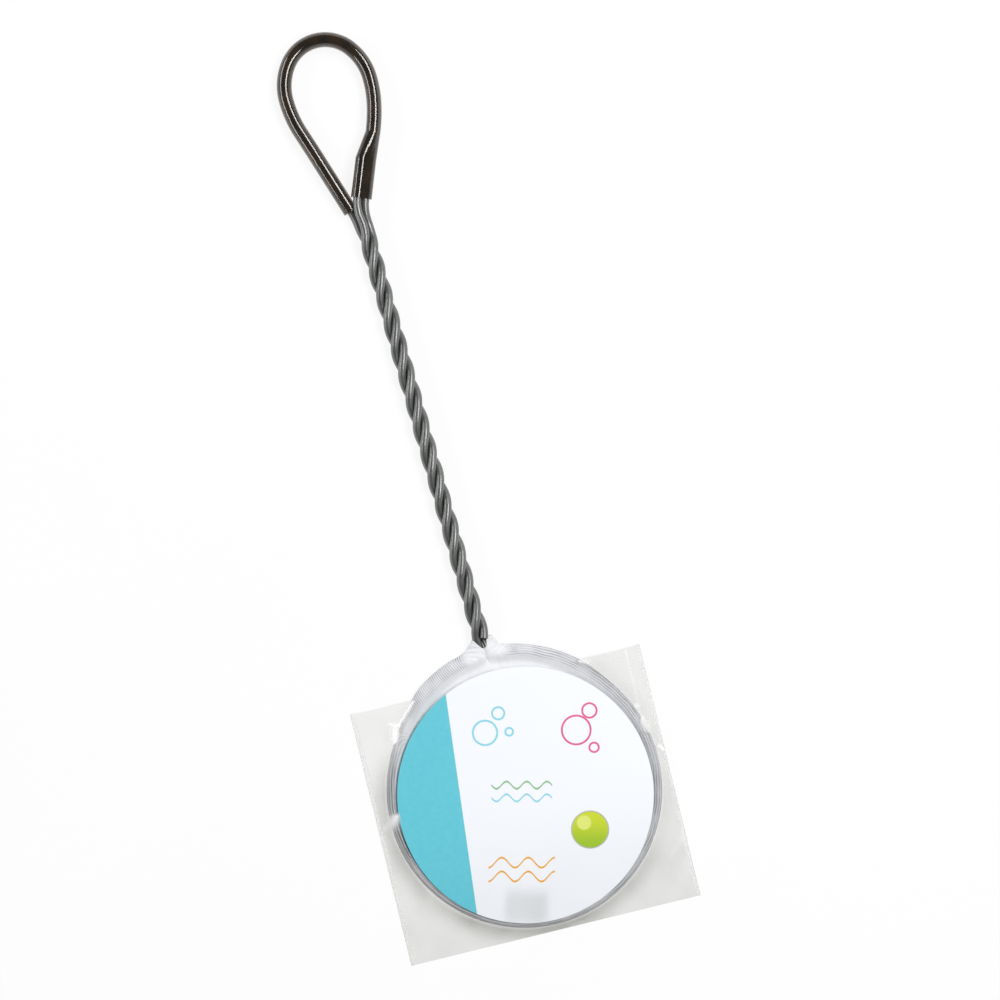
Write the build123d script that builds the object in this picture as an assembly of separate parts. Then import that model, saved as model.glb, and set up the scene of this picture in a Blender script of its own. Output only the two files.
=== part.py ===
from build123d import *
import os
from math import acos, cos, pi, radians, sin, sqrt

# Aquarium hand net, packed with a round card in a clear film pouch. Sizes in millimetres.
# Origin at the hoop's centre on the table, +Y along the handle to the hang loop, +Z up.

# Coated wire
WIRE_DIAMETER = 3.0
CORE_DIAMETER = 2.2
STRAND_CLEARANCE = 0.15         # between neighbouring strands of the twist

# Hoop and neck
HOOP_RADIUS = 48.0              # to the wire's centreline
HOOP_DROP = 0.8                 # hoop plane under the handle's axis
SHOULDER_ANGLE = 55.0           # degrees from the neck, where the wire leaves the hoop's circle
SHOULDER_RISE = 2.6             # wire outside that circle where it meets the neck's bends
NECK_BEND_RADIUS = 3.2
NECK_SPREAD = 0.15              # gap between the two wires where they leave the hoop
NECK_LENGTH = 3.2               # from the neck bends to the first strand crossing

# Twisted handle
TWIST_LENGTH = 150.25
TWIST_PITCH = 29.0              # wanted length of one turn
TAIL_SETBACK = 0.2              # cut end of the spare strand, above the twist's start

# Hang loop
LOOP_WIDTH = 31.4               # between the wire's centrelines, at the widest place
LOOP_OFFSET = 0.9               # middle of the loop, right of the handle's axis
LOOP_RISE = 56.5                # from the twist's top to the widest place
LOOP_CROWN = 18.2               # from the widest place to the top
LEFT_FOOT_OFFSET = 3.2          # sleeve's left end, left of the handle's axis
LEFT_FOOT_RISE = 11.6           # sleeve's left end, above the twist's top
LEFT_FOOT_DROP = 0.55           # sleeve's left end, under the handle's axis
LEFT_LEG_LENGTH = 20.6          # straight stretch of the left leg
LEFT_LEAN = 16.5                # degrees
LEFT_PITCH = 2.0                # degrees, fall of the left leg towards its foot

# Smoked tube on the loop, with the widened collar that also takes in the wire's end
SLEEVE_DIAMETER = 5.5
SLEEVE_CLEARANCE = 0.1
COLLAR_OFFSET = 1.75            # collar's mouth, right of the handle's axis
COLLAR_RISE = 15.0              # collar's mouth, above the twist's top
COLLAR_LIFT = 2.2               # collar's middle, above the handle's axis
COLLAR_LEAN = 22.5              # degrees
COLLAR_ROLL = 30.0              # degrees, wire's end in front of the other wire
COLLAR_LENGTH = 14.5
COLLAR_TAPER = 10.0
COLLAR_WALL = 0.8
TIP_SETBACK = 0.4               # wire's end, under the start of the taper

# Mesh hem, its thread and the folded bag
CLOTH_THICKNESS = 0.3
HEM_CLEARANCE = 0.25            # between the wire and its tunnel
HEM_FLANGE = 3.5                # sewn double layer inside the tunnel
HEM_END_GAP = 0.3               # between the tunnel's two ends at the neck
STITCH_SETBACK = 0.9            # from the tunnel to the row of stitches
STITCH_WIDTH = 0.4
STITCH_HEIGHT = 0.25
BAG_CLEARANCE = 0.3             # from the bag to the tunnel and to the pouch's back
BAG_FOLDS = 1.2                 # thickness of the folded mesh at the bag's edge
BAG_CROWN = 0.8                 # how much thicker the folds are in the middle
BAG_SLOPE = 22.0                # width of the slope up to that thickness
BAG_CORNER = 1.2                # bevel where the bag's wall meets its folds

# Card and film pouch
CARD_INSET = 1.6                # card's edge inside the hoop's wire
CARD_SHIFT = 1.6                # card's centre below the hoop's centre
CARD_THICKNESS = 0.4
CARD_CLEARANCE = 0.25           # above the hem and under the film
FILM_THICKNESS = 0.1
POUCH_TURN = -2.1               # degrees about Z, as the pouch sits on the hoop
POUCH_ROOM = 1.45               # round the hem, at the foot of the raised film
POUCH_DRAFT = 20.0              # degrees, lean of the raised film's wall
SEAL_LEFT = 3.6
SEAL_RIGHT = 1.6
FOLD_MARGIN = 0.3
MOUTH_SHORTFALL = 8.8           # mouth's edge, short of the hoop's top

# Angles of the three strands about the handle's axis, from the top towards +X
STRANDS = 3
SPARE_NECK_ANGLE = pi / 6
SPARE_TOP_ANGLE = pi / 2
QUARTERS = 4                    # path stations in one turn of the twist
HOOP_SPANS = 6                  # path stations round the hoop
SEARCH_STEPS = 200              # places tried along a quarter turn for the strands' least distance
HALVINGS = 50                   # steps of the search for the helix radius
IN_LINE = 1e-6                  # sine under which a direction counts as in line with a chord
PARALLEL = 1e-9                 # bend under which two directions count as the same

wire_radius = WIRE_DIAMETER / 2
extra_turn = (SPARE_TOP_ANGLE - SPARE_NECK_ANGLE) / (2 * pi)
turns = max(1, round(TWIST_LENGTH / TWIST_PITCH - extra_turn)) + extra_turn
turn_rate = 2 * pi * turns / TWIST_LENGTH


def neighbour_distance(radius):
    """Least distance between the centrelines of two neighbouring strands on a helix of this radius."""
    third = 2 * pi / STRANDS
    quarter = TWIST_LENGTH / turns / QUARTERS
    steps = [-quarter * i / SEARCH_STEPS for i in range(SEARCH_STEPS)]
    return min(sqrt(2 * radius**2 * (1 - cos(third + turn_rate * y)) + y**2) for y in steps)


def solve_strand_radius():
    """Helix radius that keeps neighbouring strands the strand clearance apart."""
    low, high = wire_radius, 2 * WIRE_DIAMETER
    for _ in range(HALVINGS):
        middle = (low + high) / 2
        if neighbour_distance(middle) < WIRE_DIAMETER + STRAND_CLEARANCE:
            low = middle
        else:
            high = middle
    return high


strand_radius = solve_strand_radius()
axis_height = strand_radius + wire_radius
hoop_height = axis_height - HOOP_DROP
neck_half = (WIRE_DIAMETER + NECK_SPREAD) / 2
bend_centre = HOOP_RADIUS + SHOULDER_RISE + NECK_BEND_RADIUS
neck_foot = sqrt(bend_centre**2 - (neck_half + NECK_BEND_RADIUS)**2)
bend_turn = acos((neck_half + NECK_BEND_RADIUS) / bend_centre)
twist_start = neck_foot + NECK_LENGTH
twist_top = twist_start + TWIST_LENGTH

tunnel_bore = wire_radius + HEM_CLEARANCE
tunnel_radius = tunnel_bore + CLOTH_THICKNESS
hem_radius = HOOP_RADIUS + tunnel_radius
card_height = hoop_height + tunnel_radius + CARD_CLEARANCE
film_height = card_height + CARD_THICKNESS + CARD_CLEARANCE


def heading(lean, climb=0.0):
    """Unit vector that leans from +Y towards +X and climbs towards +Z, both in degrees."""
    across = cos(radians(climb))
    return Vector(across * sin(radians(lean)), across * cos(radians(lean)), sin(radians(climb)))


def strand_stations(strand, first=0.0):
    """Points and directions up one strand of the twist: 0 is the spare one, 1 and 2 make the hoop."""
    count = round(QUARTERS * turns)
    marks = [TWIST_LENGTH * i / count for i in range(count + 1)]
    stations = []
    for along in [first] + [mark for mark in marks if mark > first]:
        angle = SPARE_NECK_ANGLE + turn_rate * along - strand * 2 * pi / STRANDS
        across = Vector(strand_radius * sin(angle), 0, strand_radius * cos(angle))
        swing = Vector(strand_radius * cos(angle), 0, -strand_radius * sin(angle)) * turn_rate
        point = Vector(0, twist_start + along, axis_height) + across
        stations.append((point, (swing + Vector(0, 1, 0)).normalized()))
    return stations


def reverse(stations):
    """The same stations, met from the other end."""
    return [(point, -direction) for point, direction in reversed(stations)]


def neck_station(side, turn=0.0):
    """Point on a neck bend, turn radians from its top, with the direction down to the hoop."""
    centre = Vector(side * (neck_half + NECK_BEND_RADIUS), neck_foot, hoop_height)
    point = centre + Vector(-side * cos(turn), -sin(turn), 0) * NECK_BEND_RADIUS
    return point, Vector(side * sin(turn), -cos(turn), 0)


def hoop_stations():
    """Stations clockwise from the right neck bend, down its shoulder, round the circle to the left one."""
    shoulder = radians(SHOULDER_ANGLE)
    step = (2 * pi - 2 * shoulder) / HOOP_SPANS
    angles = [pi / 2 - shoulder - step * i for i in range(HOOP_SPANS + 1)]
    height = Vector(0, 0, hoop_height)
    ring = [(Vector(cos(a), sin(a), 0) * HOOP_RADIUS + height, Vector(sin(a), -cos(a), 0)) for a in angles]
    left_end, down = neck_station(-1, bend_turn)
    return [neck_station(1, bend_turn), *ring, (left_end, -down)]


collar_direction = heading(COLLAR_LEAN)
collar_across = Vector(collar_direction.Y, -collar_direction.X, 0)
collar_mouth = Vector(COLLAR_OFFSET, twist_top + COLLAR_RISE, axis_height + COLLAR_LIFT)
pair_direction = collar_across * cos(radians(COLLAR_ROLL)) - Vector(0, 0, sin(radians(COLLAR_ROLL)))
pair_half = pair_direction * ((WIRE_DIAMETER + STRAND_CLEARANCE) / 2)


def loop_stations():
    """Stations from the collar's top on the right leg, over the loop, to the sleeve's left end."""
    widest = Vector(LOOP_OFFSET, twist_top + LOOP_RISE, axis_height)
    half = Vector(LOOP_WIDTH / 2, 0, 0)
    foot = Vector(-LEFT_FOOT_OFFSET, twist_top + LEFT_FOOT_RISE, axis_height - LEFT_FOOT_DROP)
    leg = heading(-LEFT_LEAN, LEFT_PITCH)
    return [
        (collar_mouth + pair_half + collar_direction * (COLLAR_LENGTH + COLLAR_TAPER), collar_direction),
        (widest + half, Vector(0, 1, 0)),
        (widest + Vector(0, LOOP_CROWN, 0), Vector(-1, 0, 0)),
        (widest - half, Vector(0, -1, 0)),
        (foot + leg * LEFT_LEG_LENGTH, -leg),
        (foot, -leg),
    ]


def wire_stations():
    """The whole wire: spare strand, loop, right strand, hoop, left strand and its end in the collar."""
    left_end = collar_mouth - pair_half
    right_neck, down = neck_station(1)
    left_neck, _ = neck_station(-1)
    return [
        *strand_stations(0, TAIL_SETBACK),
        (collar_mouth + pair_half, collar_direction),
        *loop_stations(),
        *reverse(strand_stations(2)),
        (right_neck, down),
        *hoop_stations(),
        (left_neck, -down),
        *strand_stations(1),
        (left_end, collar_direction),
        (left_end + collar_direction * (COLLAR_LENGTH - TIP_SETBACK), collar_direction),
    ]


def tangent_arc(start, direction, end):
    """Arc that leaves start along direction and ends at end, or a line where the two are in line."""
    if direction.cross((end - start).normalized()).length < IN_LINE:
        return Edge.make_line(start, end)
    return Edge.make_tangent_arc(start, direction, end)


def biarc(start, start_direction, end, end_direction):
    """Two arcs, tangent to each other, that join two stations."""
    chord = end - start
    both = start_direction + end_direction
    bend = 1 - start_direction.dot(end_direction)
    if bend > PARALLEL:
        along = chord.dot(both)
        reach = (sqrt(along**2 + 2 * bend * chord.dot(chord)) - along) / (2 * bend)
    else:
        reach = chord.dot(chord) / (2 * chord.dot(both))
    near = start + start_direction * reach
    far = end - end_direction * reach
    middle = (near + far) * 0.5
    return [
        tangent_arc(start, start_direction, middle),
        tangent_arc(middle, (far - near).normalized(), end),
    ]


def path_through(stations):
    """Smooth wire of arcs through the stations."""
    edges = []
    for (start, start_direction), (end, end_direction) in zip(stations, stations[1:]):
        edges += biarc(start, start_direction, end, end_direction)
    return Wire(edges)


def tube(stations, radius):
    """Round bar along the stations."""
    start, direction = stations[0]
    return sweep(Plane(start, z_dir=direction) * Circle(radius), path=path_through(stations))


def wire_core():
    """Steel wire, one length from end to end."""
    return tube(wire_stations(), CORE_DIAMETER / 2)


def wire_coat(core):
    """Vinyl coat, bonded to the steel all along."""
    return tube(wire_stations(), wire_radius) - core


def collar(oval_height, ring_diameter):
    """Oval round the two wires at the loop's right foot, tapering to a ring round the outer one."""
    oval = SlotOverall((pair_half * 2).length + oval_height, oval_height)
    mouth = Plane(collar_mouth, x_dir=pair_direction, z_dir=collar_direction)
    taper_foot = mouth.offset(COLLAR_LENGTH)
    ring_centre = collar_mouth + pair_half + collar_direction * (COLLAR_LENGTH + COLLAR_TAPER)
    taper_top = Plane(ring_centre, x_dir=pair_direction, z_dir=collar_direction)
    straight = extrude(mouth * oval, COLLAR_LENGTH)
    return straight + loft([taper_foot * oval, taper_top * Circle(ring_diameter / 2)])


def grip_sleeve():
    """Smoked tube over the loop, from the left leg's foot to the collar on the right leg."""
    bore = WIRE_DIAMETER + 2 * SLEEVE_CLEARANCE
    outside = tube(loop_stations(), SLEEVE_DIAMETER / 2) + collar(bore + 2 * COLLAR_WALL, SLEEVE_DIAMETER)
    inner_stations = [(collar_mouth + pair_half, collar_direction), *loop_stations()]
    return outside - tube(inner_stations, bore / 2) - collar(bore, bore)


def rim_hem():
    """Tunnel of mesh round the hoop's wire, with the sewn flange inside it, closed across the neck."""
    end_turn = acos((neck_half + NECK_BEND_RADIUS - tunnel_radius - HEM_END_GAP / 2) / NECK_BEND_RADIUS)
    left_end, down = neck_station(-1, end_turn)
    stations = [neck_station(1, end_turn), *hoop_stations(), (left_end, -down)]
    rim = path_through(hoop_stations())
    inside = make_face([*rim.edges(), Edge.make_line(rim @ 1, rim @ 0)])
    hole = Pos(0, 0, hoop_height) * Circle(HOOP_RADIUS - tunnel_radius - HEM_FLANGE)
    flange = extrude(inside - hole, CLOTH_THICKNESS, dir=(0, 0, 1), both=True)
    return tube(stations, tunnel_radius) + flange - tube(stations, tunnel_bore)


def hem_thread():
    """Row of stitches on the flange, close to the tunnel."""
    outer = HOOP_RADIUS - tunnel_radius - STITCH_SETBACK
    ring = Circle(outer) - Circle(outer - STITCH_WIDTH)
    return Pos(0, 0, hoop_height + CLOTH_THICKNESS) * extrude(ring, STITCH_HEIGHT)


def net_bag():
    """Mesh bag folded flat: a thick soft floor with a wall up to the flange."""
    outer = HOOP_RADIUS - tunnel_radius - BAG_CLEARANCE
    inner = outer - CLOTH_THICKNESS
    low = FILM_THICKNESS + BAG_CLEARANCE
    high = hoop_height - CLOTH_THICKNESS
    folds = low + BAG_FOLDS
    crown = folds + BAG_CROWN
    outline = Polyline(
        (0, low),
        (outer - BAG_CORNER, low),
        (outer, low + BAG_CORNER),
        (outer, high),
        (inner, high),
        (inner, folds),
        (inner - BAG_SLOPE, crown),
        (0, crown),
        close=True,
    )
    return revolve(Plane.XZ * make_face(outline), Axis.Z)


def turned(shape):
    """Shape turned with the pouch."""
    return Rot(0, 0, POUCH_TURN) * shape


def display_card():
    """Round card on the hoop."""
    disc = extrude(Circle(HOOP_RADIUS - CARD_INSET), CARD_THICKNESS)
    return turned(Pos(0, -CARD_SHIFT, card_height) * disc)


raised_radius = hem_radius + POUCH_ROOM
mouth_edge = hem_radius - MOUTH_SHORTFALL
fold_edge = -raised_radius - FOLD_MARGIN
left_edge = -raised_radius - SEAL_LEFT
right_edge = raised_radius + SEAL_RIGHT


def film_sheet():
    """Flat outline of the pouch."""
    middle = Pos((left_edge + right_edge) / 2, (fold_edge + mouth_edge) / 2)
    return middle * Rectangle(right_edge - left_edge, mouth_edge - fold_edge)


def raised_outline(radius):
    """Round at the fold and straight towards the mouth, where it runs past the edge."""
    length = mouth_edge + 2 * film_height
    return Circle(radius) + Pos(0, length / 2) * Rectangle(2 * radius, length)


def raised_block(radius, height):
    """Room that the raised film closes in, with leaning walls."""
    return Pos(0, 0, FILM_THICKNESS) * extrude(raised_outline(radius), height, taper=POUCH_DRAFT)


def pouch_back():
    """Flat back film."""
    return turned(extrude(film_sheet(), FILM_THICKNESS))


def pouch_front():
    """Front film: raised over the hoop and the card, flat at its seals, open towards the handle."""
    inner_radius = raised_radius - FILM_THICKNESS / cos(radians(POUCH_DRAFT))
    inner_height = film_height - FILM_THICKNESS
    seal = film_sheet() - raised_outline(inner_radius)
    raised = raised_block(raised_radius, inner_height + FILM_THICKNESS)
    film = raised + Pos(0, 0, FILM_THICKNESS) * extrude(seal, FILM_THICKNESS)
    film = film - raised_block(inner_radius, inner_height)
    return turned(film & extrude(film_sheet(), film_height + FILM_THICKNESS))


def main():
    """Build every piece and write it to its own file."""
    core = wire_core()
    pieces = {
        "wire_core": core,
        "wire_coat": wire_coat(core),
        "grip_sleeve": grip_sleeve(),
        "rim_hem": rim_hem(),
        "hem_thread": hem_thread(),
        "net_bag": net_bag(),
        "display_card": display_card(),
        "pouch_back": pouch_back(),
        "pouch_front": pouch_front(),
    }
    os.makedirs("parts", exist_ok=True)
    for name, piece in pieces.items():
        export_step(piece, f"parts/{name}.step")


main()
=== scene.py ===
import logging
import math
from dataclasses import dataclass
from enum import Enum
from typing import Any

import bpy
import numpy as np
from mathutils import Matrix, Vector


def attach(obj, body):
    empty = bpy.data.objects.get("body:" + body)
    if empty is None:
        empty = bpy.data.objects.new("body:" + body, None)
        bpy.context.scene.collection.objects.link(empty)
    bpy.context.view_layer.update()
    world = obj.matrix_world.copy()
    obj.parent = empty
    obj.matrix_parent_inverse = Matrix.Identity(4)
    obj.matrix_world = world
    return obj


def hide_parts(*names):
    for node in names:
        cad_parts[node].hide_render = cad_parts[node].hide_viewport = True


# Dressed model of an aquarium hand net in its clear pouch: soft pieces, finishes, light and camera.
# Lengths are in millimetres until a mesh is made; Blender's own values are in metres.

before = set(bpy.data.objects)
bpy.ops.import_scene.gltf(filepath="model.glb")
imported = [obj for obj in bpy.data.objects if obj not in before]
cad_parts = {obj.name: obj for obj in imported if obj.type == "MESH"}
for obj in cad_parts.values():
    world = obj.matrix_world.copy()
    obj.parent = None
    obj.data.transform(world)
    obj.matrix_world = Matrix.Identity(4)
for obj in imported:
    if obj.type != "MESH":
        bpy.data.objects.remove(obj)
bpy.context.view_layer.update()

Array = np.ndarray
Socket = bpy.types.NodeSocket
Colour = tuple[float, float, float, float]

log = logging.getLogger("fish_net")

MM = 0.001

# The hoop's wire, as the frame has it
HOOP_RADIUS = 48.0
HOOP_HEIGHT = 2.56
SHOULDER_ANGLE = math.radians(55.0)
SHOULDER_REACH = 50.6
NECK_HALF = 1.575
NECK_FOOT = 53.588
NECK_LENGTH = 3.2
BEND_RADIUS = 3.2

# How the picture lies over the frame: its right and up, its middle and its width
PICTURE_RIGHT = Vector((0.9620, -0.2731, 0.0))
PICTURE_UP = Vector((0.2731, 0.9620, 0.0))
PICTURE_CENTRE = Vector((20.2, 103.5, 3.0)) * MM
PICTURE_WIDTH = 362.3 * MM


class Body(str, Enum):
    """Bodies of the frame that pieces ride on."""

    NET = "net"
    POUCH = "pouch"


class Side(Enum):
    """Sides of the neck, as signs of X."""

    LEFT = -1
    RIGHT = 1


# Where the hoop's wires meet the twist, as X and Z on the right, and their slopes there
TWIST_FEET = {
    Side.LEFT: (np.array([1.86, 3.36]), np.array([0.0, 0.405])),
    Side.RIGHT: (np.array([0.93, 1.75]), np.array([-0.351, -0.203])),
}


def srgb(red: int, green: int, blue: int) -> Colour:
    """Linear colour of 8-bit screen values.

    Args:
        red: Red, 0 to 255.
        green: Green, 0 to 255.
        blue: Blue, 0 to 255.

    Returns:
        The colour as Blender's sockets take it.
    """
    share = np.array([red, green, blue]) / 255.0
    linear = np.where(share <= 0.04045, share / 12.92, ((share + 0.055) / 1.055) ** 2.4)
    return (*(float(x) for x in linear), 1.0)


def ease(value: Array, low: float, high: float) -> Array:
    """Smooth step: 0 up to low, 1 from high, and 3t^2 - 2t^3 between them.

    Args:
        value: Values to step.
        low: Where the step starts.
        high: Where it ends.

    Returns:
        The step at each value.
    """
    t = np.clip((value - low) / (high - low), 0.0, 1.0)
    return t * t * (3.0 - 2.0 * t)


def within(value: Array, rise: tuple[float, float], fall: tuple[float, float]) -> Array:
    """Smooth window on a value: it rises from 0 to 1 over one span and falls back over another.

    Args:
        value: Values to place.
        rise: Span of the rise.
        fall: Span of the fall.

    Returns:
        Shares from 0 to 1.
    """
    return ease(value, *rise) * (1.0 - ease(value, *fall))


def hermite(start: Array, start_slope: Array, end: Array, end_slope: Array, t: Array) -> Array:
    """Cubic between two points with given slopes at its ends.

    Args:
        start: First point.
        start_slope: Slope there, per unit of t.
        end: Last point.
        end_slope: Slope there, per unit of t.
        t: Places from 0 to 1.

    Returns:
        The points, one row for each t.
    """
    t = np.asarray(t, float)[..., None]
    return (
        (2 * t**3 - 3 * t**2 + 1) * start
        + (t**3 - 2 * t**2 + t) * start_slope
        + (3 * t**2 - 2 * t**3) * end
        + (t**3 - t**2) * end_slope
    )


def mesh_piece(name: str, points: Array, faces: list[list[int]], marks: dict[str, Array]) -> bpy.types.Object:
    """Smooth mesh of points and faces.

    Args:
        name: Name of the piece.
        points: Places in millimetres, one row for each point.
        faces: The points of each face.
        marks: Values for the points, kept as attributes.

    Returns:
        The object, at the origin.
    """
    mesh = bpy.data.meshes.new(name)
    mesh.from_pydata((points * MM).tolist(), [], faces)
    mesh.polygons.foreach_set("use_smooth", np.ones(len(mesh.polygons), bool))
    for key, values in marks.items():
        layer = mesh.attributes.new(key, "FLOAT", "POINT")
        layer.data.foreach_set("value", values.astype(np.float32))
    mesh.update()
    piece = bpy.data.objects.new(name, mesh)
    bpy.context.scene.collection.objects.link(piece)
    return piece


def grid_piece(
    name: str,
    points: Array,
    wrap: bool = False,
    pole: bool = False,
    marks: dict[str, Array] | None = None,
) -> bpy.types.Object:
    """Smooth mesh of quads between the neighbours of a grid of points.

    Args:
        name: Name of the piece.
        points: Places in millimetres, shaped (rows, columns, 3).
        wrap: True where the last column joins the first.
        pole: True where the last row is a single point.
        marks: Values shaped (rows, columns), kept as attributes of the points.

    Returns:
        The object, at the origin.
    """
    rows, columns = points.shape[:2]
    index = np.arange(rows * columns).reshape(rows, columns)
    if wrap:
        index = np.concatenate([index, index[:, :1]], axis=1)
    ring = index[: rows - 1] if pole else index
    quads = np.stack([ring[:-1, :-1], ring[1:, :-1], ring[1:, 1:], ring[:-1, 1:]], axis=-1)
    faces = quads.reshape(-1, 4).tolist()
    count = rows * columns
    if pole:
        tip = (rows - 1) * columns
        count = tip + 1
        fan = np.stack([ring[-1, :-1], np.full(ring.shape[1] - 1, tip), ring[-1, 1:]], axis=-1)
        faces += fan.tolist()
    flat = {key: values.reshape(-1)[:count] for key, values in (marks or {}).items()}
    return mesh_piece(name, points.reshape(-1, 3)[:count], faces, flat)


def thicken(piece: bpy.types.Object, thickness: float) -> None:
    """Give a sheet its thickness, half to each side.

    Args:
        piece: The sheet.
        thickness: Its thickness in millimetres.
    """
    wall = piece.modifiers.new("thickness", "SOLIDIFY")
    wall.thickness = thickness * MM
    wall.offset = 0.0
    wall.use_even_offset = False


def settle(piece: bpy.types.Object, material: bpy.types.Material, body: Body, slot: str, *nodes: str) -> None:
    """Dress a piece, put it on its body and let it stand for its nodes.

    Args:
        piece: The finished piece.
        material: Its material.
        body: The body it rides on.
        slot: Not used.
        nodes: Nodes of the frame that it stands for.
    """
    piece.data.materials.append(material)
    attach(piece, body.value)
    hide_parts(*nodes)
    log.info("%s: %d faces, on %s, for %s", piece.name, len(piece.data.polygons), body.value, ", ".join(nodes))


class Graph:
    """Shader nodes of one material, joined as they are made."""

    def __init__(self, tree: bpy.types.NodeTree) -> None:
        """Start from an empty tree."""
        tree.nodes.clear()
        self.tree = tree

    def add(self, kind: str, inputs: dict[Any, Any] | None = None, **settings: Any) -> bpy.types.Node:
        """Make a node, set it and fill its inputs.

        Args:
            kind: Blender's name for the node's type, without ShaderNode.
            inputs: Sockets to join or values to set, by the input's name or place.
            settings: Properties of the node.

        Returns:
            The node.
        """
        node = self.tree.nodes.new("ShaderNode" + kind)
        for key, value in settings.items():
            setattr(node, key, value)
        for key, value in (inputs or {}).items():
            if isinstance(value, bpy.types.NodeSocket):
                self.tree.links.new(value, node.inputs[key])
            else:
                node.inputs[key].default_value = value
        return node

    def math(self, operation: str, *values: Any, clamp: bool = False) -> Socket:
        """Result of a Math node.

        Args:
            operation: Blender's name for the operation.
            values: Sockets or numbers.
            clamp: True to keep the result from 0 to 1.

        Returns:
            The result.
        """
        node = self.add("Math", dict(enumerate(values)), operation=operation, use_clamp=clamp)
        return node.outputs[0]

    def dot(self, vector: Socket, axis: Any) -> Socket:
        """How far a vector reaches along an axis."""
        return self.add("VectorMath", {0: vector, 1: axis}, operation="DOT_PRODUCT").outputs["Value"]

    def place(self) -> Socket:
        """Place on the piece, in metres."""
        return self.add("TexCoord").outputs["Object"]

    def mark(self, name: str) -> Socket:
        """Value that the piece's own points carry under this name."""
        return self.add("Attribute", attribute_name=name).outputs["Fac"]

    def noise(self, vector: Socket, scale: float, detail: float = 2.0) -> Socket:
        """Soft noise from 0 to 1, with this many cells to the metre."""
        inputs = {"Vector": vector, "Scale": scale, "Detail": detail}
        return self.add("TexNoise", inputs).outputs["Fac"]

    def span(self, value: Socket, low: float, high: float, to_low: float = 0.0, to_high: float = 1.0) -> Socket:
        """Value carried smoothly from one span to another.

        Args:
            value: What is carried.
            low: Start of its span.
            high: End of its span.
            to_low: Start of the result's span.
            to_high: End of the result's span.

        Returns:
            The result, kept within its span.
        """
        inputs = {"Value": value, 1: low, 2: high, 3: to_low, 4: to_high}
        return self.add("MapRange", inputs, interpolation_type="SMOOTHSTEP").outputs[0]

    def blend(self, share: Any, first: Any, second: Any) -> Socket:
        """Colour between two colours, by share."""
        return self.add("Mix", {0: share, 6: first, 7: second}, data_type="RGBA").outputs[2]

    def bump(self, height: Socket, distance: float, strength: float) -> Socket:
        """Normal bent by a height, distance being what a height of 1 stands for, in millimetres."""
        inputs = {"Height": height, "Distance": distance * MM, "Strength": strength}
        return self.add("Bump", inputs).outputs[0]

    def principled(self, inputs: dict[str, Any]) -> Socket:
        """Principled shader with these inputs."""
        return self.add("BsdfPrincipled", inputs).outputs[0]

    def mix(self, share: Any, first: Socket, second: Socket) -> Socket:
        """Shader between two shaders, by share."""
        return self.add("MixShader", {0: share, 1: first, 2: second}).outputs[0]

    def finish(self, surface: Socket) -> None:
        """Join the surface to the material's output."""
        self.add("OutputMaterial", {"Surface": surface})


def new_graph(name: str) -> tuple[bpy.types.Material, Graph]:
    """Material with an empty graph.

    Args:
        name: Name of the material.

    Returns:
        The material and its graph.
    """
    material = bpy.data.materials.new(name)
    material.use_nodes = True
    return material, Graph(material.node_tree)


@dataclass(frozen=True)
class CoatedWire:
    """Satin grey-green vinyl on the wire: slow changes of tone, faint pits and rubbed patches."""

    dark: Colour = srgb(40, 45, 41)
    pale: Colour = srgb(64, 69, 64)
    rubbed: float = 0.46
    satin: float = 0.33

    def material(self) -> bpy.types.Material:
        """Make the material.

        Returns:
            The material.
        """
        material, g = new_graph("coated_wire")
        place = g.place()
        tone = g.noise(place, 130.0, 4.0)
        pits = g.noise(place, 2600.0, 3.0)
        colour = g.blend(g.span(tone, 0.3, 0.7), self.dark, self.pale)
        rough = g.span(g.noise(place, 420.0, 3.0), 0.3, 0.75, self.satin, self.rubbed)
        inputs = {
            "Base Color": colour,
            "Roughness": rough,
            "IOR": 1.8,
            "Specular IOR Level": 1.0,
            "Coat Weight": 0.4,
            "Coat Roughness": 0.36,
            "Normal": g.bump(pits, 0.02, 0.05),
        }
        g.finish(g.principled(inputs))
        return material


@dataclass(frozen=True)
class CutSteel:
    """Bare steel at the wire's cut ends, with the shear's streaks."""

    bright: Colour = (0.50, 0.50, 0.49, 1.0)
    dull: Colour = (0.20, 0.19, 0.18, 1.0)

    def material(self) -> bpy.types.Material:
        """Make the material.

        Returns:
            The material.
        """
        material, g = new_graph("cut_steel")
        place = g.add("Mapping", {"Vector": g.place(), "Scale": (1.0, 6.0, 1.0)}).outputs[0]
        streaks = g.noise(place, 1500.0, 4.0)
        inputs = {
            "Base Color": g.blend(streaks, self.dull, self.bright),
            "Metallic": 1.0,
            "Roughness": g.span(streaks, 0.2, 0.8, 0.55, 0.3),
            "Normal": g.bump(streaks, 0.02, 0.4),
        }
        g.finish(g.principled(inputs))
        return material


@dataclass(frozen=True)
class SmokedTube:
    """Glossy smoked vinyl that lets some light through, browner where it is thin."""

    smoke: Colour = (0.100, 0.064, 0.035, 1.0)
    dense: Colour = (0.036, 0.026, 0.017, 1.0)
    clearness: float = 0.75

    def material(self) -> bpy.types.Material:
        """Make the material.

        Returns:
            The material.
        """
        material, g = new_graph("smoked_tube")
        place = g.place()
        cloud = g.noise(place, 160.0, 3.0)
        scuffs = g.noise(place, 900.0, 4.0)
        inputs = {
            "Base Color": g.blend(g.span(cloud, 0.3, 0.7), self.dense, self.smoke),
            "Roughness": g.span(scuffs, 0.45, 0.8, 0.1, 0.13),
            "IOR": 1.54,
            "Transmission Weight": self.clearness,
            "Coat Weight": 1.0,
            "Coat Roughness": 0.1,
        }
        g.finish(g.principled(inputs))
        return material


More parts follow.
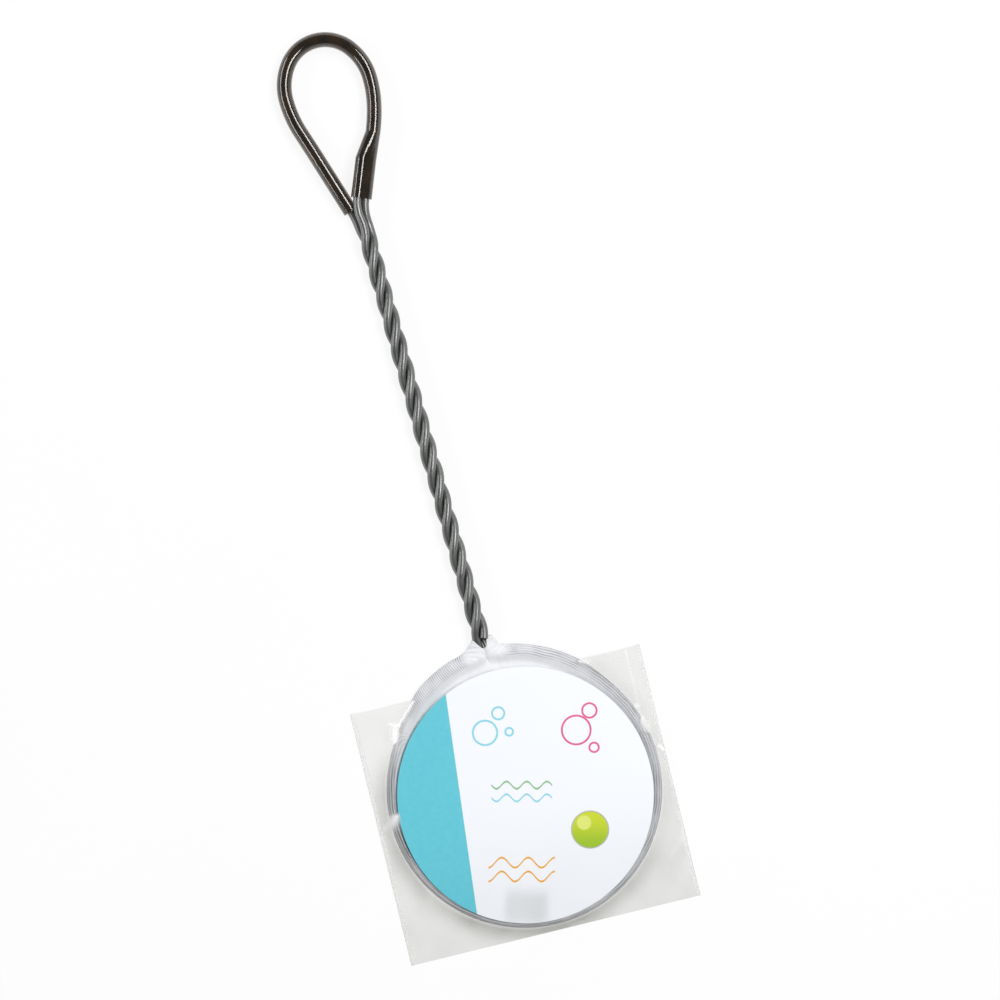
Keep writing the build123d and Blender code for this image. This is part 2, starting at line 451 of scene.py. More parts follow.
@dataclass(frozen=True)
class FineMesh:
    """Fine white mesh: heavier yarns one way, lighter ones across, open between them."""

    name: str
    yarn: Colour = (0.885, 0.89, 0.915, 1.0)
    shade: Colour = (0.42, 0.43, 0.48, 1.0)
    pitch: float = 0.8
    cross_pitch: float = 0.5
    lay: float = 22.2
    open_share: float = 0.66
    close_share: float = 0.97
    drawn_share: float = 0.4
    grey: float = 0.23

    def across(self, points: Array) -> Array:
        """Place across the heavier yarns, in millimetres, where the cloth lies at its lay."""
        return points @ np.array([math.cos(math.radians(self.lay)), math.sin(math.radians(self.lay)), 0.2])

    def material(self) -> bpy.types.Material:
        """Make the material: yarns are sines of the cloth's own places, in patches, more open where drawn tight.

        Returns:
            The material.
        """
        material, g = new_graph(self.name)
        place = g.place()
        turn = math.radians(self.lay)
        drift = g.math("MULTIPLY", g.noise(place, 110.0, 1.0), 9.0)
        cross_rate = 2 * math.pi / (self.cross_pitch * MM)
        lie = g.mark("lie")
        along = g.math("MULTIPLY", lie, 2 * math.pi / self.pitch)
        across = g.dot(place, (-math.sin(turn) * cross_rate, math.cos(turn) * cross_rate, 0.2 * cross_rate))
        heavy = g.span(g.math("SINE", g.math("ADD", along, drift)), -0.9, 0.7)
        light = g.span(g.math("SINE", g.math("ADD", across, drift)), -0.2, 0.9)
        cover = g.math("MAXIMUM", heavy, g.math("MULTIPLY", light, 0.55))
        strain = g.mark("strain")
        plain = g.mark("plain")
        quiet = g.math("MULTIPLY_ADD", plain, -0.85, 1.0)
        patch = g.span(g.noise(place, 150.0, 1.0), 0.36, 0.64, 0.4, 1.0)
        gap = g.math("MULTIPLY", g.math("SUBTRACT", 1.0, cover), g.math("MULTIPLY", quiet, patch))
        soil = g.span(g.noise(place, 45.0, 3.0), 0.3, 0.8, 0.0, 0.12)
        white = g.math("MULTIPLY_ADD", plain, self.grey, 1.0 - self.grey)
        tone = g.math("SUBTRACT", g.math("MULTIPLY_ADD", gap, -0.6, white), soil, clamp=True)
        closed = g.math("MULTIPLY_ADD", gap, self.open_share - self.close_share, self.close_share)
        inputs = {
            "Base Color": g.blend(tone, self.shade, self.yarn),
            "Roughness": 0.62,
            "Sheen Weight": 0.25,
            "Sheen Roughness": 0.4,
            "Alpha": g.math("MULTIPLY_ADD", strain, -self.drawn_share, closed),
            "Normal": g.bump(gap, -0.05, 0.4),
        }
        g.finish(g.principled(inputs))
        return material


@dataclass(frozen=True)
class SewingThread:
    """White spun thread: plies wound round each stitch, with painted shade in the grooves between them."""

    pale: Colour = (0.84, 0.83, 0.85, 1.0)
    groove_shade: Colour = (0.55, 0.54, 0.58, 1.0)

    def material(self) -> bpy.types.Material:
        """Make the material: the plies are a sine of the stitch's own winding, with painted shade in the grooves
        between them.

        Returns:
            The material.
        """
        material, g = new_graph("sewing_thread")
        winding = g.mark("winding")
        plies = g.span(g.math("SINE", winding), -0.8, 0.6)
        inputs = {
            "Base Color": g.blend(plies, self.groove_shade, self.pale),
            "Roughness": 0.55,
            "Sheen Weight": 0.3,
            "Normal": g.bump(plies, 0.05, 0.5),
        }
        g.finish(g.principled(inputs))
        return material


@dataclass(frozen=True)
class PrintedCard:
    """Smooth white card with a plain print: a teal side, a round button, bubbles and waves."""

    paper: Colour = srgb(245, 248, 254)
    paper_shade: Colour = srgb(244, 246, 251)
    teal: Colour = srgb(104, 204, 220)
    teal_shade: Colour = srgb(98, 200, 217)
    lime: Colour = srgb(205, 218, 44)
    leaf: Colour = srgb(158, 196, 38)
    glint: Colour = srgb(226, 234, 120)
    silver: Colour = srgb(176, 182, 176)
    pink: Colour = srgb(226, 96, 142)
    sky: Colour = srgb(140, 214, 232)
    green: Colour = srgb(140, 190, 140)
    orange: Colour = srgb(240, 172, 52)
    side_axis: tuple[float, float, float] = (-0.9909, 0.1344, 0.0)
    side_edge: float = 23.25
    button: tuple[float, float] = (19.0, -20.0)
    line: float = 0.36

    def disc(self, g: Graph, place: Socket, x: float, y: float, radius: float) -> Socket:
        """Share of ink in a disc at x, y, in millimetres, with a sharp printed edge."""
        away = self.away(g, place, x, y)
        return g.span(away, (radius - 0.06) * MM, (radius + 0.06) * MM, 1.0, 0.0)

    def away(self, g: Graph, place: Socket, x: float, y: float) -> Socket:
        """Distance from x, y, in millimetres, over the card's plane."""
        flat = g.add("VectorMath", {0: place, 1: (1.0, 1.0, 0.0)}, operation="MULTIPLY").outputs[0]
        ends = {0: flat, 1: (x * MM, y * MM, 0.0)}
        return g.add("VectorMath", ends, operation="DISTANCE").outputs["Value"]

    def stroke(self, g: Graph, offset: Socket) -> Socket:
        """Share of ink where a distance from a drawn line is within half its width."""
        far = g.math("ABSOLUTE", offset)
        return g.span(far, (self.line - 0.1) * MM, (self.line + 0.1) * MM, 1.0, 0.0)

    def bubbles(self, g: Graph, place: Socket, *rings: tuple[float, float, float]) -> Socket:
        """Share of ink in drawn rings.

        Args:
            g: The card's graph.
            place: Place on the card.
            rings: X, Y and radius of each ring, in millimetres.

        Returns:
            The share.
        """
        share: Any = 0.0
        for x, y, radius in rings:
            offset = g.math("SUBTRACT", self.away(g, place, x, y), radius * MM)
            share = g.math("MAXIMUM", share, self.stroke(g, offset))
        return share

    def wave(self, g: Graph, place: Socket, x: float, y: float, half: float, high: float, long: float) -> Socket:
        """Share of ink in a drawn wave: the height over its middle line less a sine of the way along it.

        Args:
            g: The card's graph.
            place: Place on the card.
            x: Its middle, in millimetres.
            y: Its middle, in millimetres.
            half: Half its length.
            high: Height of a crest.
            long: Length of one wave.

        Returns:
            The share.
        """
        run = g.math("SUBTRACT", g.dot(place, PICTURE_RIGHT), x * MM)
        rise = g.math("SUBTRACT", g.dot(place, PICTURE_UP), y * MM)
        crest = g.math("MULTIPLY", g.math("SINE", g.math("MULTIPLY", run, 2 * math.pi / (long * MM))), high * MM)
        length = g.span(g.math("ABSOLUTE", run), (half - 0.1) * MM, (half + 0.1) * MM, 1.0, 0.0)
        return g.math("MULTIPLY", self.stroke(g, g.math("SUBTRACT", rise, crest)), length)

    def material(self) -> bpy.types.Material:
        """Make the material: inks are laid over the paper one after another.

        Returns:
            The material.
        """
        material, g = new_graph("printed_card")
        place = g.place()
        grain = g.noise(place, 1900.0, 5.0)
        paper = g.blend(g.span(grain, 0.3, 0.7), self.paper_shade, self.paper)
        across = g.dot(place, self.side_axis)
        side = g.span(across, (self.side_edge - 0.08) * MM, (self.side_edge + 0.08) * MM)
        teal = g.blend(g.span(g.noise(place, 700.0, 3.0), 0.3, 0.7), self.teal_shade, self.teal)
        colour = g.blend(side, paper, teal)
        fade = g.span(g.dot(place, PICTURE_UP), -20.5 * MM, -9.0 * MM)
        colour = g.blend(self.disc(g, place, *self.button, 6.9), colour, self.silver)
        colour = g.blend(self.disc(g, place, *self.button, 6.5), colour, g.blend(fade, self.leaf, self.lime))
        colour = g.blend(self.disc(g, place, 17.6, -17.0, 2.6), colour, self.glint)
        drawn = (
            (self.bubbles(g, place, (24.0, 16.0, 5.2), (30.5, 21.5, 2.6), (28.5, 8.2, 1.7)), self.pink),
            (self.bubbles(g, place, (-8.0, 24.0, 4.4), (-1.5, 29.5, 2.2), (0.5, 22.0, 1.4)), self.sky),
            (self.wave(g, place, -1.0, 2.0, 11.0, 1.3, 7.3), self.green),
            (self.wave(g, place, -1.0, -2.6, 11.0, 1.3, 7.3), self.sky),
            (self.wave(g, place, -1.0, -26.0, 12.0, 1.8, 9.6), self.orange),
            (self.wave(g, place, -1.0, -31.0, 12.0, 1.8, 9.6), self.orange),
        )
        for share, ink in drawn:
            colour = g.blend(share, colour, ink)
        inputs = {
            "Base Color": colour,
            "Roughness": g.span(grain, 0.2, 0.8, 0.42, 0.55),
            "Specular IOR Level": 0.4,
            "Normal": g.bump(grain, 0.01, 0.2),
        }
        g.finish(g.principled(inputs))
        return material


@dataclass(frozen=True)
class ClearFilm:
    """Clear film with a warm grey cast: frosted white in its welds, with painted highlights along some creases, and
    painted shade towards the fold and round the hoop.
    """

    clear: Colour = (0.997, 0.997, 0.996, 1.0)
    haze_shade_tint: Colour = (0.70, 0.704, 0.685, 1.0)
    frost_and_highlight: Colour = (0.98, 0.98, 0.975, 1.0)
    gloss: float = 0.14
    weld_white: float = 0.2
    face_shine: float = 0.003
    slant_shine: float = 0.6

    def material(self) -> bpy.types.Material:
        """Make the material.

        It is a tinted see-through sheet whose tint carries painted shade as well as its grey cast, whitened by painted
        highlights along some creases and by frost in its welds, under a gloss that grows at a slant.

        Returns:
            The material.
        """
        material, g = new_graph("clear_film")
        place = g.place()
        haze_and_shade = g.mark("haze_and_shade")
        crease_highlight = g.mark("crease_highlight")
        weld = g.mark("weld")
        cloud = g.span(g.noise(place, 90.0, 4.0), 0.25, 0.8, 0.85, 1.15)
        # The tint turns grey with the haze mark, which carries painted shade and the hoop's painted shadow besides the
        # film's own grey cast.
        tint = g.blend(g.math("MULTIPLY", haze_and_shade, cloud, clamp=True), self.clear, self.haze_shade_tint)
        # Painted highlights along the creases and frost in the welds whiten the sheet.
        white = g.math("MAXIMUM", crease_highlight, g.math("MULTIPLY", weld, self.weld_white), clamp=True)
        sheet = g.add("BsdfTransparent", {"Color": tint}).outputs[0]
        frost_and_highlight_shader = g.principled({"Base Color": self.frost_and_highlight, "Roughness": 0.4})
        body = g.mix(white, sheet, frost_and_highlight_shader)
        ripple = g.bump(g.noise(place, 160.0, 2.0), 0.25, 0.08)
        shine = g.add("BsdfGlossy", {"Color": (1, 1, 1, 1), "Roughness": self.gloss, "Normal": ripple}).outputs[0]
        slant = g.add("LayerWeight", {"Blend": 0.5}).outputs["Facing"]
        share = g.math("MULTIPLY_ADD", g.math("POWER", slant, 5.0), self.slant_shine, self.face_shine)
        g.finish(g.mix(share, body, shine))
        return material


@dataclass
class WireHandle:
    """The one wire of hoop, twisted handle and hang loop, with the smoked tube on its loop."""

    coat: CoatedWire = CoatedWire()
    steel: CutSteel = CutSteel()
    tube: SmokedTube = SmokedTube()

    def dress(self) -> None:
        """Give the frame's wire and tube their finishes."""
        for node, finish in (("wire_coat", self.coat), ("wire_core", self.steel), ("grip_sleeve", self.tube)):
            dress_node(node, finish.material())


def dress_node(node: str, material: bpy.types.Material) -> None:
    """Put one material on every slot of a node of the frame.

    Args:
        node: Name of the node.
        material: Its material.
    """
    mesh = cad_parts[node].data
    mesh.materials.clear()
    mesh.materials.append(material)
    log.info("%s: dressed with %s", node, material.name)


@dataclass
class RimHem:
    """Hem of mesh: a loose tunnel round the hoop's wire, a sewn flange inside it, and two open ends at the neck."""

    cloth: FineMesh = FineMesh("hem_mesh")
    thickness: float = 0.12
    tube_radius: float = 1.74
    layer_gap: float = 0.2
    root: float = 3.0
    flange_radius: float = 42.6
    peak: float = 57.3
    notch: float = 53.3
    web_reach: tuple[float, float] = (6.4, 4.2)
    end_slack: tuple[float, float] = (1.75, 3.1)
    web_rows: int = 24
    tail_columns: int = 9
    tube_columns: int = 30

    def slack(self, side: Side, polar: Array) -> Array:
        """How far the tunnel stands outside the wire's middle, by the angle from the neck in degrees.

        Args:
            side: Side of the neck.
            polar: Angles from the neck.

        Returns:
            The distances.
        """
        marks = [4.0, 10.0, 20.0, 30.0, 40.0, 50.0, 62.0, 180.0]
        left = [3.0, 3.5, 3.5, 3.8, 3.0, 2.2, 1.9, 1.9]
        right = [2.9, 2.8, 2.5, 2.7, 2.8, 2.2, 1.9, 1.9]
        return np.interp(polar, marks, left if side is Side.LEFT else right)

    def rows(self, side: Side) -> tuple[Array, Array, Array, Array]:
        """Half of the wire's line, from the neck's foot to the bottom of the hoop, as if on the right.

        The bend is an arc about its own centre, the shoulder a cubic, the rest the hoop's circle. Beside the
        bend the tunnel's outer edge is one cubic from the neck to the shoulder, a web across the corner.

        Args:
            side: Side of the neck.

        Returns:
            Places, outward normals, ways to the outer edge and how far inwards the flange reaches, by rows.
        """
        centre = np.array([NECK_HALF + BEND_RADIUS, NECK_FOOT])
        end = math.acos((NECK_HALF + BEND_RADIUS) / (SHOULDER_REACH + BEND_RADIUS))
        turn = np.linspace(0.0, end, 16)
        bend = centre - BEND_RADIUS * np.stack([np.cos(turn), np.sin(turn)], axis=-1)
        bend_way = np.stack([np.sin(turn), -np.cos(turn)], axis=-1)
        join = HOOP_RADIUS * np.array([math.sin(SHOULDER_ANGLE), math.cos(SHOULDER_ANGLE)])
        join_way = np.array([math.cos(SHOULDER_ANGLE), -math.sin(SHOULDER_ANGLE)])
        pull = 1.049 * np.linalg.norm(join - bend[-1])
        t = np.linspace(0.0, 1.0, 42)[1:]
        shoulder = hermite(bend[-1], bend_way[-1] * pull, join, join_way * pull, t)
        angle = np.linspace(SHOULDER_ANGLE, math.pi, 112)[1:]
        circle = HOOP_RADIUS * np.stack([np.sin(angle), np.cos(angle)], axis=-1)
        line = np.concatenate([bend, shoulder, circle])
        way = np.gradient(line, axis=0)
        way[:16] = bend_way
        way /= np.linalg.norm(way, axis=1, keepdims=True)
        out = np.stack([-way[:, 1], way[:, 0]], axis=-1)
        polar = np.degrees(np.arctan2(line[:, 0], line[:, 1]))
        edge = line + self.slack(side, polar)[:, None] * out
        foot = np.array([NECK_HALF + self.web_reach[side is Side.RIGHT], NECK_FOOT])
        web = self.web_rows
        across = np.linalg.norm(edge[web] - foot)
        leave = (edge[web + 1] - edge[web]) / np.linalg.norm(edge[web + 1] - edge[web])
        edge[: web + 1] = hermite(
            foot, np.array([0.9, -0.44]) * across, edge[web], leave * across, np.linspace(0.0, 1.0, web + 1)
        )
        reach = (line * out).sum(1)
        under = reach**2 - (line**2).sum(1) + self.flange_radius**2
        ring = np.where(under > 0, reach - np.sqrt(np.maximum(under, 0.0)), 99.0)
        middle = np.where(out[:, 0] > 0.02, line[:, 0] / np.maximum(out[:, 0], 0.02) + 0.12, 99.0)
        return line, out, edge - line, np.minimum(ring, np.where(polar < 12.0, middle, 99.0))

    def section(self, slack: Array, tail: Array, along: Array) -> tuple[Array, Array]:
        """Section of the hem at each row: top layer, round the wire, bottom layer.

        Round the wire it is half an ellipse on either side; by the neck its upper inner quarter is a longer,
        easy slope, the square of a cosine of the way out.

        Args:
            slack: How far the tunnel stands outwards, one for each row.
            tail: How far the flange reaches inwards.
            along: Way along the hoop, for the gathers.

        Returns:
            Distances outwards from the wire's middle and heights over it, shaped (rows, columns).
        """
        root = np.minimum(self.root, tail - 0.03)[:, None]
        loose = (ease(tail, 3.2, 4.6) * (1.0 - ease(along, 66.0, 88.0)))[:, None]
        ramp = np.minimum(self.root + 1.2 * loose, tail[:, None] - 0.03)
        start = math.pi - math.asin(self.layer_gap / self.tube_radius)
        turn = np.linspace(start, -start, self.tube_columns)[None, :]
        sloped = (np.cos(turn) < 0) & (turn > 0)
        outward = np.where(np.cos(turn) > 0, slack[:, None], np.where(sloped, ramp, root)) * np.cos(turn)
        sag = 0.3 * np.maximum(slack[:, None] - 1.9, 0.0) * np.maximum(np.cos(turn), 0.0) ** 2
        easy = self.layer_gap + (self.tube_radius - self.layer_gap) * np.cos(0.5 * math.pi * np.cos(turn)) ** 2
        height = self.tube_radius * np.sin(turn) - sag
        height = np.where(sloped, height + loose * (easy - height), height)
        share = np.linspace(0.0, 1.0, self.tail_columns + 1)[None, :-1]
        top = -tail[:, None] + (tail[:, None] + outward[:, :1]) * share
        bottom = -tail[:, None] + (tail[:, None] + outward[:, -1:]) * share
        level = np.full_like(top, self.layer_gap)
        outward = np.concatenate([top, outward, bottom[:, ::-1]], axis=1)
        height = np.concatenate([level, height, -level], axis=1)
        gather = 0.05 + 0.10 * ease(slack, 2.0, 3.4)[:, None]
        ripple = np.sin(along[:, None] * 2.6 + 1.3 * np.sin(along[:, None] * 0.31) + 0.4 * outward)
        calm = ease(np.abs(outward), 0.0, 1.2)
        spread = 0.4 * gather * ripple * ease(outward, 0.5, 2.0)
        return outward + spread, height + gather * ripple * (0.35 + 0.65 * calm)

    def neck_rows(self, side: Side, slack: float, tail: float) -> Array:
        """Open end of the tunnel up one wire of the neck, cut at a slant.

        The wire's middle follows a cubic from the neck's foot to the twist, and the end's height
        grows smoothly from the inner to the outer side.

        Args:
            side: Side of the neck.
            slack: Slack at the neck's foot.
            tail: How far the flange reaches inwards there.

        Returns:
            Points from the end down to the foot, shaped (rows, columns, 3), as if on the right.
        """
        up = np.linspace(1.0, 0.0, 11)[:-1]
        wide = slack + (self.end_slack[side is Side.RIGHT] - slack) * up**0.8
        outward, height = self.section(wide, np.full_like(up, tail), -4.0 * up)
        end = self.notch + (self.peak - self.notch) * ease(outward, -1.3, 1.5)
        y = NECK_FOOT + up[:, None] * (end - NECK_FOOT)
        share = np.clip((y - NECK_FOOT) / NECK_LENGTH, 0.0, 1.0)
        foot = np.array([NECK_HALF, HOOP_HEIGHT])
        twist, slope = TWIST_FEET[side]
        middle = hermite(foot, np.zeros(2), twist, slope * NECK_LENGTH, share)
        return np.stack([middle[..., 0] + outward, y, middle[..., 1] + height], axis=-1)

    def half(self, side: Side) -> tuple[Array, Array, Array]:
        """Grid of one half of the hem, from its end at the neck to the bottom of the hoop.

        The yarns keep the cloth's lay by the neck and turn to follow the hoop, at once on the right, later on the left.

        Args:
            side: Side of the neck.

        Returns:
            Points shaped (rows, columns, 3), and their places across the yarns and outwards from the wire.
        """
        line, out, rim, tail = self.rows(side)
        slack = np.linalg.norm(rim, axis=1)
        along = np.concatenate([[0.0], np.linalg.norm(np.diff(line, axis=0), axis=1).cumsum()])
        outward, height = self.section(slack, tail, along)
        inner = np.minimum(outward, 0.0)[..., None] * out[:, None, :]
        outer = (np.maximum(outward, 0.0) / slack[:, None])[..., None] * rim[:, None, :]
        flat = line[:, None, :] + inner + outer
        body = np.concatenate([flat, HOOP_HEIGHT + height[..., None]], axis=-1)
        neck = self.neck_rows(side, slack[0], tail[0])
        points = np.concatenate([neck, body]) * np.array([side.value, 1.0, 1.0])
        none = np.zeros(neck.shape[:2])
        polar = np.degrees(np.arctan2(line[:, 0], line[:, 1]))
        turned = ease(polar, 40.0, 60.0) if side is Side.LEFT else ease(along, 2.0, 8.0)
        turned = np.concatenate([none[:, 0], turned])[:, None]
        outward = np.concatenate([none, outward])
        across = self.cloth.across(points)
        start = across[np.abs(turned[:, 0] - 0.5).argmin(), across.shape[1] // 2]
        return points, (1.0 - turned) * (across - start) + 0.9 * turned * outward, outward

    def build(self) -> bpy.types.Object:
        """Make the hem from its two halves, and mark its cloth.

        Strain says how much the wire shows through: away from the neck, and most along the crest at the sides.
        Plain says where the weave is close and whiter: by the neck, on the inner slope near it and on the flange; on
        the inner slope the whiter cloth is also painted light against the card's shade.

        Returns:
            The piece.
        """
        pairs = zip(self.half(Side.LEFT), self.half(Side.RIGHT))
        points, lie, outward = (np.concatenate([left, right[-2::-1]]) for left, right in pairs)
        polar = np.degrees(np.abs(np.arctan2(points[..., 0], points[..., 1])))
        left = points[..., 0] < 0
        low = ease(polar, 84.0, 104.0)
        inner = ease(-outward, -0.9, 0.9) * np.where(left, 0.6 * low, 0.1)
        strain = ease(polar, 38.0, 62.0) * (0.75 + inner) * np.where(left, 0.9 + 0.2 * low, 0.72)
        strain = strain * (1.0 - 0.25 * ease(polar, 145.0, 168.0))
        crest = np.where(left, within(polar, (56, 66), (98, 112)), 0.75 * within(polar, (76, 88), (108, 128)))
        strain = strain + 0.9 * np.exp(-(((outward + 0.1) / 1.0) ** 2)) * crest
        strain = strain + 0.5 * ease(outward, -0.4, 0.8) * ~left * within(polar, (24, 32), (46, 56))
        plain = 1.0 - ease(np.hypot(points[..., 0], points[..., 1] - 53.0), 6.0, 11.0)
        plain = np.maximum(plain, 0.7 * np.exp(-(((polar - 50.0) / 8.0) ** 2)) * left)
        # Painted light: the inner slope by the card's edge is made whiter and closer, to lift the card's shade there.
        inner_light_lift = ease(-outward, 0.4, 1.9) * (1.0 - ease(polar, 62.0, 92.0))
        plain = np.maximum(plain, inner_light_lift)
        strain = strain * (1.0 - 0.8 * inner_light_lift)
        plain[:, : self.tail_columns] = 1.0
        plain[:, -self.tail_columns :] = 1.0
        hem = grid_piece("hem_cloth", points, marks={"strain": strain, "plain": plain, "lie": lie})
        thicken(hem, self.thickness)
        return hem

    def dress(self, hem: bpy.types.Object) -> None:
        """Dress the hem."""
        settle(hem, self.cloth.material(), Body.NET, "hem_mesh", "rim_hem")


@dataclass
class StitchRow:
    """Row of separate stitches that closes the tunnel."""

    thread: SewingThread = SewingThread()
    radius: float = 44.4
    height: float = 2.96
    count: int = 116
    half_length: float = 0.98
    half_width: float = 0.2
    half_height: float = 0.15

    def build(self) -> bpy.types.Object:
        """Make the stitches: each is a rounded bar whose girth falls off to its ends, sunk into the cloth there.

        Returns:
            The piece.
        """
        v = np.linspace(-1.0, 1.0, 7)
        u = np.linspace(0.0, 2 * math.pi, 7)[:-1]
        girth = np.sqrt(np.maximum(1.0 - v**4, 0.02))
        along = np.broadcast_to(self.half_length * v[:, None], (7, 6))
        across = self.half_width * girth[:, None] * np.cos(u)[None, :]
        up = self.half_height * girth[:, None] * np.sin(u)[None, :] - 0.12 * (v**4)[:, None]
        spot = (np.arange(self.count) + 0.5) * 2 * math.pi / self.count
        wander = 0.08 * np.sin(spot * 23.0)
        tilt = 0.05 * np.sin(spot * 37.0)
        r = self.radius + wander[:, None, None] + across[None] + tilt[:, None, None] * along[None]
        angle = spot[:, None, None] + along[None] / self.radius
        points = np.stack([r * np.sin(angle), r * np.cos(angle), np.broadcast_to(self.height + up, r.shape)], axis=-1)
        winding = np.broadcast_to(7.0 * v[:, None] + u[None, :], (7, 6))
        index = np.arange(42).reshape(7, 6)
        index = np.concatenate([index, index[:, :1]], axis=1)
        quads = np.stack([index[:-1, :-1], index[:-1, 1:], index[1:, 1:], index[1:, :-1]], axis=-1).reshape(-1, 4)
        shift = 42 * np.arange(self.count)[:, None]
        faces = (quads[None] + shift[:, :, None]).reshape(-1, 4).tolist()
        faces += (index[0, 5::-1][None] + shift).tolist() + (index[-1, :6][None] + shift).tolist()
        marks = {"winding": np.tile(winding.reshape(-1), self.count)}
        return mesh_piece("hem_stitches", points.reshape(-1, 3), faces, marks)

    def dress(self, stitches: bpy.types.Object) -> None:
        """Dress the stitches."""
        settle(stitches, self.thread.material(), Body.NET, "thread", "hem_thread")


@dataclass
class FoldedBag:
    """Mesh bag folded flat in the hoop: in from the rim, back out, and in again to the middle."""

    cloth: FineMesh = FineMesh("bag_mesh", pitch=0.9, cross_pitch=0.6, lay=24.5)
    thickness: float = 0.1
    rim: float = 45.1

    def build(self) -> bpy.types.Object:
        """Make the bag over a grid of angle and way in from the rim.

        The radius is a sum of the rim and two fold lines that wander with the angle, each with a weight
        that depends on the way alone; the height drops a layer at each fold and rolls with shared wrinkles.

        Returns:
            The piece.
        """
        angle = np.linspace(0.0, 2 * math.pi, 241)[:-1][None, :]
        inner = 19.0 + 6.0 * np.cos(angle - 0.9) + 2.6 * np.cos(3 * angle + 0.5) + 1.1 * np.cos(7 * angle)
        outer = 37.5 + 2.6 * np.cos(2 * angle + 1.2) + 1.5 * np.cos(5 * angle - 0.4) + 0.6 * np.cos(11 * angle)
        way = np.linspace(0.0, 1.0, 96)
        marks = [0.0, 0.03, 0.36, 0.375, 0.39, 0.62, 0.635, 0.65, 1.0]
        weights = {
            "rim": [1.0, 0.995, 0, 0, 0, 0, 0, 0, 0],
            "inner": [0, 0, 1, 0.975, 1, 0, 0, 0, 0],
            "outer": [0, 0, 0, 0, 0, 1, 1.012, 1, 0],
            "height": [2.12, 1.86, 1.84, 1.56, 1.3, 1.24, 0.98, 0.72, 0.78],
        }
        rim, near, far, level = (np.interp(way, marks, weights[k])[:, None] for k in weights)
        radius = rim * self.rim + near * inner + far * outer
        radius[-1] = 0.0
        x, y = radius * np.sin(angle), radius * np.cos(angle)
        wrinkle = (
            np.sin(0.31 * x + 0.12 * y + 1.1 * np.sin(0.11 * y))
            + 0.8 * np.sin(0.14 * x - 0.36 * y + 1.4 * np.sin(0.09 * x + 1.0))
            + 0.6 * np.sin(0.62 * x + 0.45 * y + 0.8 * np.sin(0.2 * x))
        )
        ruck = np.sin(9 * angle + 0.12 * radius) * ease(radius, 6.0, 30.0)
        height = level + 0.075 * wrinkle + 0.05 * ruck * ease(way[:, None], 0.02, 0.1)
        points = np.stack([x, y, height], axis=-1)
        bag = grid_piece("folded_bag", points, wrap=True, pole=True, marks={"lie": self.cloth.across(points)})
        thicken(bag, self.thickness)
        return bag

    def dress(self, bag: bpy.types.Object) -> None:
        """Dress the bag."""
        settle(bag, self.cloth.material(), Body.NET, "bag_mesh", "net_bag")


